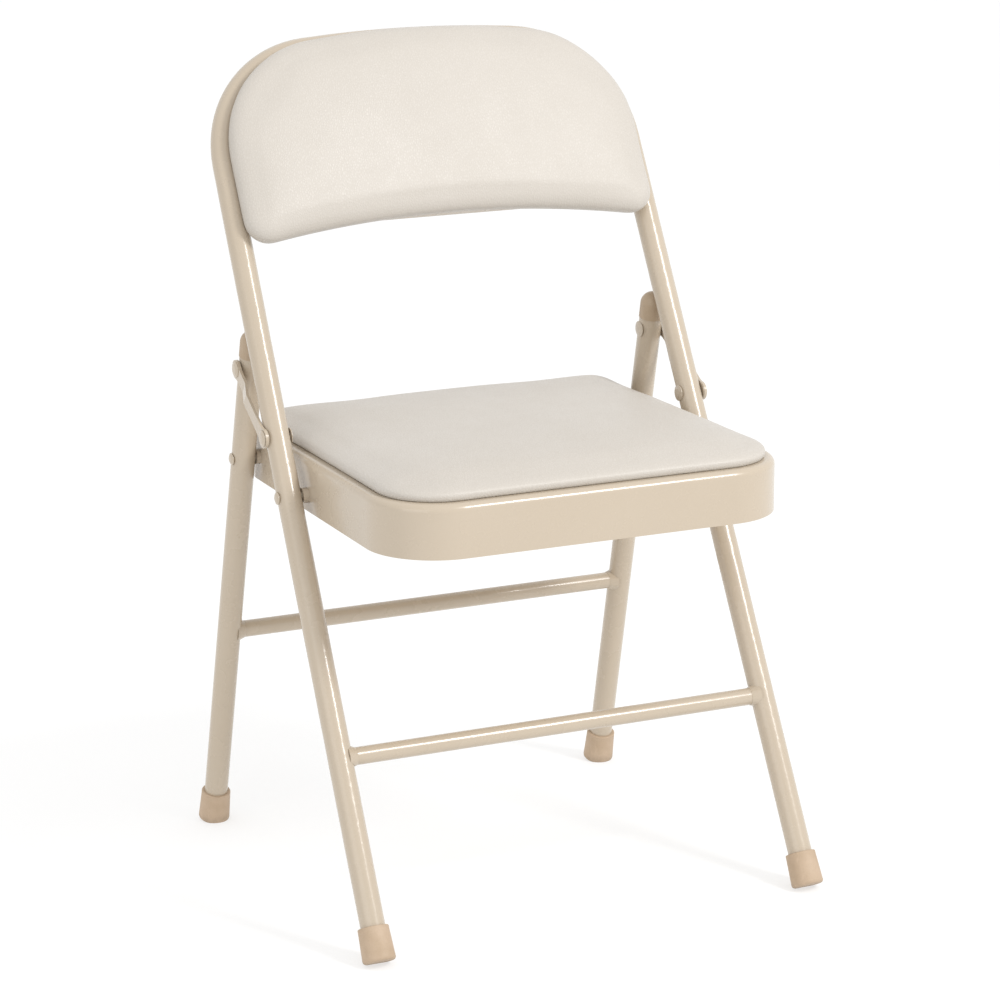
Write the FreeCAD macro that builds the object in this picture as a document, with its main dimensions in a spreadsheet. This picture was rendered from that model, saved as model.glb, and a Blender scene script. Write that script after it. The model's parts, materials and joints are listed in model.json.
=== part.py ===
import FreeCAD, Part
import Sketcher
import math
import os
from FreeCAD import Vector, Rotation, Placement, Matrix

# Folding chair: bent tube front frame with a padded back, folding seat, rear leg frame and two side straps.
# Frame: +Z up, the chair faces -Y, X across the seat. Lengths in millimetres, angles in degrees.
# "along" is measured up a leg from the floor, "off" squarely out of the plane of the front frame.

doc = FreeCAD.newDocument("folding_chair")
sheet = doc.addObject("Spreadsheet::Sheet", "dims")
sheet.Label = "dims"

DIMS = [
    # leg tubes
    ("tube_dia", 22.2), ("tube_wall", 1.4), ("bar_dia", 15.9), ("bar_wall", 1.2),
    # side view of the open chair
    ("lean_front", 28.9), ("lean_rear", 13.5), ("rear_floor_y", 418.7), ("y_shift", 211.22),
    # front hoop, in its own plane
    ("hoop_half", 206.0), ("hoop_corner_r", 109.0), ("hoop_corner_along", 738.0), ("hoop_flare", 0.62),
    ("hoop_crown", 5.0), ("front_tube_end", 11.0),
    # rear legs
    ("rear_half_floor", 208.9), ("rear_half_drop", 4.3), ("rear_tube_end", 8.0), ("rear_tube_top", 499.0),
    ("rear_cap_centre", 508.6),
    # pivots, measured up each leg
    ("seat_pivot_along", 425.1), ("strap_pivot_along", 481.1), ("rear_pivot_along", 391.5), ("stud_along", 482.773),
    # crossbars
    ("front_bar_along", 185.8), ("rear_bar_along", 208.8), ("weld_dia", 20.4), ("weld_len", 3.2), ("cope_gap", 0.03),
    # feet
    ("foot_r_top", 13.6), ("foot_r_low", 14.8), ("foot_round", 3.0), ("foot_len", 31.0), ("front_foot_low", 4.4),
    ("rear_foot_low", 1.3), ("foot_fit", 0.05),
    # leg caps
    ("cap_r", 11.6), ("cap_skirt", 14.0),
    # rivets and washers
    ("shank_dia", 7.0), ("hole_fit", 0.06), ("head_dia", 15.0), ("head_thick", 2.0), ("small_head_dia", 11.2),
    ("washer_dia", 17.0), ("washer_thick", 1.45), ("strap_gap", 0.2), ("spacer_dia", 14.0), ("stud_dia", 11.0), ("stud_head_thick", 1.2),
    # strap
    ("strap_width", 17.5), ("strap_thick", 2.5), ("strap_len", 87.914), ("strap_jog", -3.7), ("jog_start", 50.0),
    ("jog_end", 64.0), ("strap_face", 220.6), ("waist", 12.0), ("waist_blend_r", 20.0),
    # seat pan
    ("pan_half", 189.4), ("pan_taper", 1.13), ("pan_front", -1.5), ("pan_rear", 366.0), ("pan_low", 357.8), ("pan_top", 406.0),
    ("pan_front_r", 64.0), ("pan_rear_r", 31.0), ("pan_wall", 1.4), ("pan_rim_r", 6.6), ("pan_hem", 7.0),
    ("pan_flange", 44.0),
    # seat board and cushion
    ("board_gap", 0.1), ("seat_board_thick", 6.0), ("seat_board_inset", 20.0), ("cushion_inset", 7.4),
    ("cushion_high", 24.0), ("cushion_round", 12.0),
    # seat brace
    ("brace_y", 196.0), ("brace_width", 34.0), ("brace_deep", 13.0), ("brace_thick", 2.0),
    # back
    ("pad_half", 207.0), ("pad_low_mid", 672.8), ("pad_low_bow_r", 1070.0), ("pad_low_corner_r", 22.0),
    ("pad_side_top", 740.0), ("pad_corner_r", 110.0), ("pad_crown", 7.6), ("pad_off", 11.5), ("pad_thick", 24.0),
    ("pad_round", 10.0), ("back_board_thick", 4.5), ("back_board_inset", 12.0),
    ("panel_off", 9.6), ("panel_thick", 1.2), ("panel_low", 675.0), ("panel_inset", 5.9), ("panel_lip", 9.0),
    # screws
    ("screw_dia", 4.0), ("screw_head_dia", 9.0), ("screw_head_thick", 2.4), ("screw_deep", 3.4),
    ("back_screw_x", 120.0), ("back_screw_low", 705.0), ("back_screw_high", 810.0),
    ("seat_screw_x", 156.0), ("seat_screw_front", 75.0), ("seat_screw_rear", 322.0),
]
VAL = {}
for row, (alias, value) in enumerate(DIMS, start=1):
    sheet.set("A%d" % row, alias)
    sheet.set("B%d" % row, repr(float(value)))
    sheet.setAlias("B%d" % row, alias)
    VAL[alias] = float(value)
doc.recompute()


class Dim:
    """A number that carries the spreadsheet expression it came from."""

    def __init__(self, value, text):
        self.v = float(value)
        self.t = text

    def __add__(self, o):
        o = dim(o)
        return Dim(self.v + o.v, "(%s + %s)" % (self.t, o.t))

    def __radd__(self, o):
        return dim(o) + self

    def __sub__(self, o):
        o = dim(o)
        return Dim(self.v - o.v, "(%s - %s)" % (self.t, o.t))

    def __rsub__(self, o):
        return dim(o) - self

    def __mul__(self, o):
        o = dim(o)
        return Dim(self.v * o.v, "(%s * %s)" % (self.t, o.t))

    def __rmul__(self, o):
        return dim(o) * self

    def __truediv__(self, o):
        o = dim(o)
        return Dim(self.v / o.v, "(%s / %s)" % (self.t, o.t))

    def __rtruediv__(self, o):
        return dim(o) / self

    def __neg__(self):
        return Dim(-self.v, "(-1 * %s)" % self.t)


def dim(o):
    if isinstance(o, Dim):
        return o
    return Dim(o, repr(float(o)) if o >= 0 else "(%r)" % float(o))


def D(alias):
    return Dim(VAL[alias], "dims." + alias)


def sind(q):
    return Dim(math.sin(math.radians(q.v)), "sin(%s * 1 deg)" % q.t)


def cosd(q):
    return Dim(math.cos(math.radians(q.v)), "cos(%s * 1 deg)" % q.t)


def tand(q):
    return Dim(math.tan(math.radians(q.v)), "tan(%s * 1 deg)" % q.t)


def root(q):
    return Dim(math.sqrt(q.v), "sqrt(%s)" % q.t)


# ---------------------------------------------------------------- local frames
def frame(xa, ya, za, base):
    m = Matrix(xa.x, ya.x, za.x, base.x, xa.y, ya.y, za.y, base.y, xa.z, ya.z, za.z, base.z, 0, 0, 0, 1)
    return Placement(m)


LF = math.radians(VAL["lean_front"])
LR = math.radians(VAL["lean_rear"])
SHIFT = Vector(0, -VAL["y_shift"], 0)
X = Vector(1, 0, 0)
UP_F = Vector(0, math.sin(LF), math.cos(LF))
BACK_F = Vector(0, math.cos(LF), -math.sin(LF))
UP_R = Vector(0, -math.sin(LR), math.cos(LR))
BACK_R = Vector(0, math.cos(LR), math.sin(LR))
FRONT = frame(X, BACK_F, UP_F, SHIFT)
REAR = frame(X, BACK_R, UP_R, SHIFT + Vector(0, VAL["rear_floor_y"], 0))
LEVEL = Placement(SHIFT, Rotation())


def at(fr, x, y, z):
    return fr.multVec(Vector(x, y, z))


def along_x(point, sign=1):
    """Local Z along +X or -X, local origin at the point."""
    return Placement(point, Rotation(Vector(0, 1, 0), 90.0 * sign))


R_TUBE = D("tube_dia") / 2
R_BAR = D("bar_dia") / 2
FLARE = tand(D("hoop_flare"))
HOOP_X1 = D("hoop_half") - D("hoop_corner_r") * (1 - cosd(D("hoop_flare")))
HOOP_Z1 = D("hoop_corner_along") + D("hoop_corner_r") * sind(D("hoop_flare"))


def front_half(s):
    """Half spacing of the front tube axes, s up the frame."""
    return HOOP_X1 + (HOOP_Z1 - s) * FLARE


def rear_half(s):
    """Half spacing of the rear leg axes, s up the leg."""
    return D("rear_half_floor") - D("rear_half_drop") * s / 500


# ---------------------------------------------------------------- builders
def bind(obj, prop, q):
    obj.setExpression(prop, q.t)


def origin_plane(body, role):
    for f in body.Origin.OriginFeatures:
        if f.Role == role:
            return f
    raise RuntimeError("no plane " + role)


def new_body(name, placement=None):
    b = doc.addObject("PartDesign::Body", name)
    b.Label = name
    if placement is not None:
        b.Placement = placement
    return b


def new_sketch(body, name, role, offset=None):
    s = body.newObject("Sketcher::SketchObject", name)
    s.AttachmentSupport = [(origin_plane(body, role), "")]
    s.MapMode = "FlatFace"
    if offset is not None:
        s.AttachmentOffset = Placement(Vector(0, 0, offset.v), Rotation())
        bind(s, "AttachmentOffset.Base.z", offset)
    return s


def chain(sk, verts, segs, closed=True):
    """Lines and arcs through the vertices; each vertex and radius is bound to the spreadsheet.
    segs[i] is None for a line or (radius, turn) for an arc, turn +1 counter-clockwise."""
    n = len(verts)
    count = n if closed else n - 1
    ids = []
    ends = []
    for i in range(count):
        a = verts[i]
        b = verts[(i + 1) % n]
        ax, ay, bx, by = a[0].v, a[1].v, b[0].v, b[1].v
        if segs[i] is None:
            ids.append(sk.addGeometry(Part.LineSegment(Vector(ax, ay, 0), Vector(bx, by, 0)), False))
            ends.append((1, 2))
        else:
            r, turn = segs[i]
            dx, dy = bx - ax, by - ay
            half = math.hypot(dx, dy) / 2
            hgt = math.sqrt(max(r.v * r.v - half * half, 0.0))
            mx, my = (ax + bx) / 2, (ay + by) / 2
            nx, ny = -dy / (2 * half), dx / (2 * half)
            cx, cy = mx + nx * hgt * turn, my + ny * hgt * turn
            t0 = math.atan2(ay - cy, ax - cx)
            t1 = math.atan2(by - cy, bx - cx)
            if turn < 0:
                t0, t1 = t1, t0
            while t1 < t0:
                t1 += 2 * math.pi
            circ = Part.Circle(Vector(cx, cy, 0), Vector(0, 0, 1), r.v)
            ids.append(sk.addGeometry(Part.ArcOfCircle(circ, t0, t1), False))
            ends.append((1, 2) if turn > 0 else (2, 1))
    cons = []
    last = count if closed else count - 1
    for i in range(last):
        j = (i + 1) % count
        sk.addConstraint(Sketcher.Constraint("Coincident", ids[i], ends[i][1], ids[j], ends[j][0]))
    for i in range(n):
        if i < count:
            g, p = ids[i], ends[i][0]
        else:
            g, p = ids[count - 1], ends[count - 1][1]
        for kind, q in (("DistanceX", verts[i][0]), ("DistanceY", verts[i][1])):
            if abs(q.v) < 1e-9:
                if kind == "DistanceX":
                    sk.addConstraint(Sketcher.Constraint("PointOnObject", g, p, -2))
                else:
                    sk.addConstraint(Sketcher.Constraint("PointOnObject", g, p, -1))
                continue
            c = sk.addConstraint(Sketcher.Constraint(kind, -1, 1, g, p, q.v))
            cons.append((c, q))
    for i in range(count):
        if segs[i] is None:
            continue
        a, b = verts[i], verts[(i + 1) % n]
        if abs(math.hypot(b[0].v - a[0].v, b[1].v - a[1].v) - 2 * segs[i][0].v) < 1e-6:
            # half circle on an upright chord: its centre lies on the chord
            if abs(a[0].v) < 1e-9:
                sk.addConstraint(Sketcher.Constraint("PointOnObject", ids[i], 3, -2))
            else:
                c = sk.addConstraint(Sketcher.Constraint("DistanceX", -1, 1, ids[i], 3, a[0].v))
                cons.append((c, a[0]))
            continue
        c = sk.addConstraint(Sketcher.Constraint("Radius", ids[i], segs[i][0].v))
        cons.append((c, segs[i][0]))
    for c, q in cons:
        sk.setExpression("Constraints[%d]" % c, q.t)
    return ids


def circle(sk, x, y, r):
    g = sk.addGeometry(Part.Circle(Vector(x.v, y.v, 0), Vector(0, 0, 1), r.v), False)
    for kind, q in (("DistanceX", x), ("DistanceY", y)):
        if abs(q.v) < 1e-9:
            sk.addConstraint(Sketcher.Constraint("PointOnObject", g, 3, -2 if kind == "DistanceX" else -1))
        else:
            c = sk.addConstraint(Sketcher.Constraint(kind, -1, 1, g, 3, q.v))
            sk.setExpression("Constraints[%d]" % c, q.t)
    c = sk.addConstraint(Sketcher.Constraint("Radius", g, r.v))
    sk.setExpression("Constraints[%d]" % c, r.t)
    return g


def pad(body, sk, name, length, reverse=False, both=False):
    p = body.newObject("PartDesign::Pad", name)
    p.Profile = sk
    p.Length = length.v
    bind(p, "Length", length)
    p.Reversed = reverse
    if both:
        if hasattr(p, "SideType"):
            p.SideType = "Symmetric"
        else:
            p.Midplane = True
    body.Tip = p
    return p


def pocket(body, sk, name, length, reverse=False):
    before = body.Shape.Volume
    p = body.newObject("PartDesign::Pocket", name)
    p.Profile = sk
    p.Length = length.v
    bind(p, "Length", length)
    p.Reversed = reverse
    body.Tip = p
    doc.recompute()
    if not p.Shape.Volume < before - 1.0:
        raise RuntimeError("pocket %s removes nothing" % name)
    return p


def revolve(body, sk, name, axis="V_Axis"):
    r = body.newObject("PartDesign::Revolution", name)
    r.Profile = sk
    r.ReferenceAxis = (sk, [axis])
    r.Angle = 360.0
    body.Tip = r
    return r


def turned(name, placement, pts, segs=None, axis_closed=True):
    """Solid of revolution about local Z from a profile of (radius, height) points."""
    b = new_body(name, placement)
    s = new_sketch(b, name + "_profile", "XZ_Plane")
    chain(s, pts, segs or [None] * len(pts))
    revolve(b, s, name + "_turn")
    return b


def cylinder(name, radius, height, placement, bind_height=True):
    c = doc.addObject("Part::Cylinder", name)
    c.Label = name
    c.Radius = radius.v
    bind(c, "Radius", radius)
    c.Height = height.v
    bind(c, "Height", height)
    c.Placement = placement
    return c


def box(name, size, placement):
    b = doc.addObject("Part::Box", name)
    b.Label = name
    for prop, q in zip(("Length", "Width", "Height"), size):
        setattr(b, prop, q.v)
        bind(b, prop, q)
    b.Placement = placement
    return b


def cut(name, base, tools):
    if len(tools) > 1:
        tool = doc.addObject("Part::MultiFuse", name + "_tools")
        tool.Shapes = tools
    else:
        tool = tools[0]
    c = doc.addObject("Part::Cut", name)
    c.Label = name
    c.Base = base
    c.Tool = tool
    return c


def common(name, a, b):
    c = doc.addObject("Part::Common", name)
    c.Label = name
    c.Base = a
    c.Tool = b
    return c


def mirrored(name, src):
    m = doc.addObject("Part::Mirroring", name)
    m.Label = name
    m.Source = src
    m.Normal = (1, 0, 0)
    m.Base = (0, 0, 0)
    return m


def group(name, members):
    c = doc.addObject("Part::Compound", name)
    c.Label = name
    c.Links = members
    return c


NODES = {}

# ---------------------------------------------------------------- front frame tube
hoop = new_body("front_hoop_bent", FRONT)
s0 = D("front_tube_end")
spine = new_sketch(hoop, "hoop_path", "XZ_Plane")
crown_x = (D("hoop_half") - D("hoop_corner_r")) + D("hoop_corner_r") * sind(D("hoop_crown"))
crown_z = D("hoop_corner_along") + D("hoop_corner_r") * cosd(D("hoop_crown"))
crown_r = crown_x / sind(D("hoop_crown"))
chain(
    spine,
    [(front_half(s0), s0), (HOOP_X1, HOOP_Z1), (crown_x, crown_z), (-crown_x, crown_z), (-HOOP_X1, HOOP_Z1), (-front_half(s0), s0)],
    [None, (D("hoop_corner_r"), 1), (crown_r, 1), (D("hoop_corner_r"), 1), None],
    closed=False,
)
ring = new_sketch(hoop, "hoop_section", "XY_Plane", s0)
circle(ring, front_half(s0), dim(0), R_TUBE)
circle(ring, front_half(s0), dim(0), R_TUBE - D("tube_wall"))
doc.recompute()
pipe = hoop.newObject("PartDesign::AdditivePipe", "hoop_bend")
pipe.Profile = ring
pipe.Spine = (spine, [])
hoop.Tip = pipe
doc.recompute()

hole_r = D("shank_dia") / 2 + D("hole_fit")


def hole_x(name, fr, y, z, x0, x1, radius=None):
    """Cylinder along X through the local point (y, z) of a frame, from x0 to x1."""
    p = at(fr, 0, y, z)
    return cylinder(name, radius or hole_r, dim(x1 - x0), along_x(Vector(x0, p.y, p.z)))


front_holes = []
for tag, s in (("seat", "seat_pivot_along"), ("strap", "strap_pivot_along")):
    front_holes.append(hole_x("front_hole_%s" % tag, FRONT, 0, VAL[s], -240.0, 240.0))
NODES["front_frame_tube"] = cut("front_frame_tube", hoop, front_holes)


# ---------------------------------------------------------------- crossbars and their welds
def leg_axis(which, side):
    """Placement with local Z up the axis of a leg, side +1 or -1."""
    if which == "front":
        fr, a, b = FRONT, front_half(dim(0)).v, front_half(dim(500)).v
    else:
        fr, a, b = REAR, rear_half(dim(0)).v, rear_half(dim(500)).v
    p0 = at(fr, side * a, 0, 0)
    p1 = at(fr, side * b, 0, 500)
    za = (p1 - p0).normalize()
    xa = (X - za * za.dot(X)).normalize()
    return frame(xa, za.cross(xa), za, p0)


def crossbar(which, fr, s):
    half = front_half(D(s)) if which == "front" else rear_half(D(s))
    p = at(fr, -half.v, 0, VAL[s])
    outer = cylinder(which + "_bar_outer", R_BAR, half * 2, along_x(p))
    bore = cylinder(which + "_bar_bore", R_BAR - D("bar_wall"), half * 2, along_x(p))
    legs = [cylinder("%s_bar_cope_%s" % (which, t), R_TUBE + D("cope_gap"), dim(600), leg_axis(which, sg)) for t, sg in (("l", -1), ("r", 1))]
    bar = cut(which + "_crossbar", outer, [bore] + legs)
    # a fillet weld bead round each end
    pr = at(fr, (half - R_TUBE - D("weld_len")).v, 0, VAL[s])
    bead = doc.addObject("Part::Cone", which + "_bead_cone")
    bead.Label = which + "_bead_cone"
    bead.Radius1 = R_BAR.v + 0.3
    bind(bead, "Radius1", R_BAR + 0.3)
    bead.Radius2 = VAL["weld_dia"] / 2 + 1.2
    bind(bead, "Radius2", D("weld_dia") / 2 + 1.2)
    bead.Height = (D("weld_len") + R_TUBE / 2).v
    bind(bead, "Height", D("weld_len") + R_TUBE / 2)
    bead.Placement = along_x(pr)
    core = cylinder(which + "_bead_core", R_BAR + 0.02, dim(40), along_x(pr - Vector(10, 0, 0)))
    leg = cylinder(which + "_bead_cope", R_TUBE + D("cope_gap"), dim(600), leg_axis(which, 1))
    right = cut(which + "_weld_right", bead, [core, leg])
    welds = group(which + "_crossbar_welds", [right, mirrored(which + "_weld_left", right)])
    return bar, welds


NODES["front_crossbar"], NODES["front_crossbar_welds"] = crossbar("front", FRONT, "front_bar_along")
NODES["rear_crossbar"], NODES["rear_crossbar_welds"] = crossbar("rear", REAR, "rear_bar_along")


# ---------------------------------------------------------------- feet
def foot(which, low, end):
    lo, e = D(low), D(end)
    top = lo + D("foot_len")
    rin = R_TUBE + D("foot_fit")
    q = D("foot_round")
    b = turned(
        which + "_foot_turned",
        leg_axis(which, 1),
        [
            (dim(0), lo), (D("foot_r_low") - q, lo), (D("foot_r_low"), lo + q), (D("foot_r_top") + 0.25, top - 3.2),
            (D("foot_r_top") + 0.25, top - 1.2), (D("foot_r_top") - 0.95, top), (rin, top), (rin, e - 0.05), (dim(0), e - 0.05),
        ],
        [None, (q, 1), None, None, (dim(1.2), 1), None, None, None, None],
    )
    floor = box(which + "_foot_room", (dim(200), dim(200), dim(120)), Placement(at(FRONT if which == "front" else REAR, 110, -100, 0) * 1.0, Rotation()))
    base = floor.Placement.Base
    floor.Placement = Placement(Vector(110, base.y, 0.0), Rotation())
    right = common(which + "_foot_right", b, floor)
    return right, mirrored(which + "_foot_left", right)


NODES["front_foot_right"], NODES["front_foot_left"] = foot("front", "front_foot_low", "front_tube_end")
NODES["rear_foot_right"], NODES["rear_foot_left"] = foot("rear", "rear_foot_low", "rear_tube_end")

# ---------------------------------------------------------------- rear legs
rear_tube = new_body("rear_leg_tube", leg_axis("rear", 1))
ts = new_sketch(rear_tube, "rear_leg_section", "XY_Plane", D("rear_tube_end"))
circle(ts, dim(0), dim(0), R_TUBE)
circle(ts, dim(0), dim(0), R_TUBE - D("tube_wall"))
pad(rear_tube, ts, "rear_leg_length", D("rear_tube_top") - D("rear_tube_end"))
rear_holes = [hole_x("rear_hole_%s" % t, REAR, 0, VAL[s], 170.0, 240.0) for t, s in (("pivot", "rear_pivot_along"), ("stud", "stud_along"))]
NODES["rear_leg_right"] = cut("rear_leg_right", rear_tube, rear_holes)
NODES["rear_leg_left"] = mirrored("rear_leg_left", NODES["rear_leg_right"])

cc = D("rear_cap_centre")
cap_in = R_TUBE + D("foot_fit")
cap_low = cc - D("cap_skirt")
cap = turned(
    "rear_leg_cap_right",
    leg_axis("rear", 1),
    [(cap_in, cap_low), (D("cap_r"), cap_low), (D("cap_r"), cc), (dim(0), cc + D("cap_r")), (dim(0), D("rear_tube_top") + 0.05), (cap_in, D("rear_tube_top") + 0.05)],
    [None, None, (D("cap_r"), 1), None, None, None],
)
NODES["rear_leg_cap_right"] = cap
NODES["rear_leg_cap_left"] = mirrored("rear_leg_cap_left", cap)


# ---------------------------------------------------------------- rivets, spacers and washers
def headed(name, placement, z0, z1, head0, head1):
    """Rivet along local Z: shank z0..z1, domed heads of diameter head0 below z0 and head1 above z1."""
    r = D("shank_dia") / 2
    t = D("head_thick")
    h0 = head0 / 2
    h1 = head1 / 2
    pts = [(dim(0), z0 - t), (h0 * 0.55, z0 - t * 0.9), (h0, z0 - t * 0.3), (h0, z0), (r, z0), (r, z1), (h1, z1), (h1, z1 + t * 0.3), (h1 * 0.55, z1 + t * 0.9), (dim(0), z1 + t)]
    return turned(name, placement, pts)


def ring_part(name, placement, z0, z1, outer, inner):
    return turned(name, placement, [(inner, z0), (outer, z0), (outer, z1), (inner, z1)])


p1 = at(FRONT, 0, 0, VAL["seat_pivot_along"])
p4 = at(FRONT, 0, 0, VAL["strap_pivot_along"])
p2 = at(REAR, 0, 0, VAL["rear_pivot_along"])
p3 = at(REAR, 0, 0, VAL["stud_along"])
on_x = lambda p: along_x(Vector(0, p.y, p.z))
snug = D("shank_dia") / 2 + 0.02

def side_half(y):
    """Half width of the pan at a distance y behind the front feet; the sides spread a little towards the front."""
    return D("pan_half") + (D("pan_rear") - y) * sind(D("pan_taper")) / cosd(D("pan_taper"))


# the pan's sides where the two pivots pass through them, with room for the slant under a head or a spacer
side_1 = side_half(D("seat_pivot_along") * sind(D("lean_front")))
side_2 = side_half(D("rear_floor_y") - D("rear_pivot_along") * sind(D("lean_rear")))
x1_out = front_half(D("seat_pivot_along")) + R_TUBE
x1_in = front_half(D("seat_pivot_along")) - R_TUBE
pan_in = D("pan_half") - D("pan_wall")
seat_rivet = headed("seat_pivot_rivet_right", on_x(p1), side_1 - D("pan_wall") - 0.18, x1_out + 0.3, D("head_dia"), D("small_head_dia"))
NODES["seat_pivot_rivets"] = group("seat_pivot_rivets", [seat_rivet, mirrored("seat_pivot_rivet_left", seat_rivet)])
seat_spacer = ring_part("seat_pivot_spacer_right", on_x(p1), side_1 + 0.17, x1_in - 0.3, D("spacer_dia") / 2, snug)
NODES["seat_pivot_spacers"] = group("seat_pivot_spacers", [seat_spacer, mirrored("seat_pivot_spacer_left", seat_spacer)])

x2_out = rear_half(D("rear_pivot_along")) + R_TUBE
x2_in = rear_half(D("rear_pivot_along")) - R_TUBE
rear_rivet = headed("rear_pivot_rivet_right", on_x(p2), side_2 - D("pan_wall") - 0.18, x2_out + 0.3, D("head_dia"), D("small_head_dia"))
NODES["rear_pivot_rivets"] = group("rear_pivot_rivets", [rear_rivet, mirrored("rear_pivot_rivet_left", rear_rivet)])
rear_spacer = ring_part("rear_pivot_spacer_right", on_x(p2), side_2 + 0.17, x2_in - 0.3, D("spacer_dia") / 2, snug)
NODES["rear_pivot_spacers"] = group("rear_pivot_spacers", [rear_spacer, mirrored("rear_pivot_spacer_left", rear_spacer)])

x4_out = front_half(D("strap_pivot_along")) + R_TUBE
x4_in = front_half(D("strap_pivot_along")) - R_TUBE
strap_rivet = headed("strap_pivot_rivet_right", on_x(p4), x4_in, D("strap_face") + D("strap_thick") + D("strap_gap"), D("head_dia"), D("head_dia"))
NODES["strap_pivot_rivets"] = group("strap_pivot_rivets", [strap_rivet, mirrored("strap_pivot_rivet_left", strap_rivet)])
washer = ring_part("strap_pivot_washer_right", on_x(p4), x4_out + 0.03, D("strap_face") - D("strap_gap"), D("washer_dia") / 2, snug)
NODES["strap_pivot_washers"] = group("strap_pivot_washers", [washer, mirrored("strap_pivot_washer_left", washer)])

# stud on the rear leg: inner head, shank through the tube, collar up to the strap
x3_out = rear_half(D("stud_along")) + R_TUBE
x3_in = rear_half(D("stud_along")) - R_TUBE
stud_top = D("strap_face") + D("strap_jog") - 0.3
t_head = D("head_thick")
# the inner head is flat, for the seat pan folds past it
s_head = D("stud_head_thick")
stud = turned(
    "strap_stud_right",
    on_x(p3),
    [
        (dim(0), x3_in - s_head), (D("head_dia") / 2 * 0.55, x3_in - s_head * 0.9), (D("head_dia") / 2, x3_in - s_head * 0.3), (D("head_dia") / 2, x3_in),
        (D("shank_dia") / 2, x3_in), (D("shank_dia") / 2, x3_out + 0.03), (D("stud_dia") / 2, x3_out + 0.03), (D("stud_dia") / 2, stud_top), (dim(0), stud_top),
    ],
)
NODES["strap_studs"] = group("strap_studs", [stud, mirrored("strap_stud_left", stud)])

# ---------------------------------------------------------------- side straps
ex = (p3 - p4)
ex.x = 0.0
ex.normalize()
STRAP = frame(ex, Vector(0, -ex.z, ex.y), X, Vector(VAL["strap_face"], p4.y, p4.z))
hw = D("strap_width") / 2
blank = new_body("strap_blank", STRAP)
bs = new_sketch(blank, "strap_outline", "XY_Plane")
# round eyes joined by a narrower waist, with hollow blends between
wh, br, sl = D("waist") / 2, D("waist_blend_r"), D("strap_len")
bx = root((hw + br) * (hw + br) - (wh + br) * (wh + br))
ex_t, ey_t = bx * hw / (hw + br), (wh + br) * hw / (hw + br)
chain(
    bs,
    [
        (ex_t, -ey_t), (bx, -wh), (sl - bx, -wh), (sl - ex_t, -ey_t), (sl + hw, dim(0)),
        (sl - ex_t, ey_t), (sl - bx, wh), (bx, wh), (ex_t, ey_t), (-hw, dim(0)),
    ],
    [(br, -1), None, (br, -1), (hw, 1), (hw, 1), (br, -1), None, (br, -1), (hw, 1), (hw, 1)],
)
circle(bs, dim(0), dim(0), hole_r)
pad(blank, bs, "strap_plan", dim(24), both=True)
jog = new_body("strap_profile", STRAP)
js = new_sketch(jog, "strap_side", "XZ_Plane")
th, jg, ja, jb = D("strap_thick"), D("strap_jog"), D("jog_start"), D("jog_end")
chain(js, [(dim(-14), dim(0)), (ja, dim(0)), (jb, jg), (D("strap_len") + 14, jg), (D("strap_len") + 14, jg + th), (jb + 0.33, jg + th), (ja + 0.33, th), (dim(-14), th)], [None] * 8)
pad(jog, js, "strap_bar", dim(30), both=True)
NODES["link_strap_right"] = common("link_strap_right", blank, jog)
NODES["link_strap_left"] = mirrored("link_strap_left", NODES["link_strap_right"])
hd = D("head_dia") / 2
hx = D("strap_face") + jg + th + 0.02
link_head = turned("link_head_right", on_x(p3), [(dim(0), hx), (hd, hx), (hd, hx + t_head * 0.3), (hd * 0.55, hx + t_head * 0.9), (dim(0), hx + t_head)])
NODES["link_head_right"] = link_head
NODES["link_head_left"] = mirrored("link_head_left", link_head)


# ---------------------------------------------------------------- seat
def seat_outline(sk, inset, rf, rr):
    f = D("pan_front") + inset
    r = D("pan_rear") - inset
    c, s = cosd(D("pan_taper")), sind(D("pan_taper"))
    cf = side_half(f + rf) - (rf + inset) / c
    cr = side_half(r - rr) - (rr + inset) / c
    xf, yf = cf + rf * c, f + rf + rf * s
    xr, yr = cr + rr * c, r - rr + rr * s
    chain(
        sk,
        [(cf, f), (xf, yf), (xr, yr), (cr, r), (-cr, r), (-xr, yr), (-xf, yf), (-cf, f)],
        [(rf, 1), None, (rr, 1), None, (rr, 1), None, (rf, 1), None],
    )


def outline_block(name, inset, rf, rr, z0, hgt, round_top=None):
    b = new_body(name, LEVEL)
    s = new_sketch(b, name + "_plan", "XY_Plane", z0)
    seat_outline(s, inset, rf, rr)
    p = pad(b, s, name + "_pad", hgt)
    doc.recompute()
    if round_top is not None:
        ztop = z0.v + hgt.v
        names = []
        for i, e in enumerate(p.Shape.Edges, start=1):
            bb = e.BoundBox
            if abs(bb.ZMin - ztop) < 1e-4 and abs(bb.ZMax - ztop) < 1e-4:
                names.append("Edge%d" % i)
        f = b.newObject("PartDesign::Fillet", name + "_round")
        f.Base = (p, names)
        f.Radius = round_top.v
        bind(f, "Radius", round_top)
        b.Tip = f
        doc.recompute()
    return b


w = D("pan_wall")
rf, rr = D("pan_front_r"), D("pan_rear_r")
deep = D("pan_top") - D("pan_low")
pan_skin = outline_block("seat_pan_skin", dim(0), rf, rr, D("pan_low"), deep, D("pan_rim_r"))
pan_room = outline_block("seat_pan_room", w, rf - w, rr - w, D("pan_low") + w, deep - w * 2, D("pan_rim_r") - w)
pan_mouth = outline_block("seat_pan_mouth", D("pan_hem"), rf - D("pan_hem"), rr - D("pan_hem"), D("pan_low") - 5, dim(20))
pan_light = outline_block("seat_pan_light", D("pan_flange"), rf - D("pan_flange"), dim(18), D("pan_top") - 12, dim(30))
seat_holes = [hole_x("pan_hole_%s" % t, fr, 0, VAL[s], -220.0, 220.0, D("shank_dia") / 2 + 0.02) for t, fr, s in (("front", FRONT, "seat_pivot_along"), ("rear", REAR, "rear_pivot_along"))]
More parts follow.
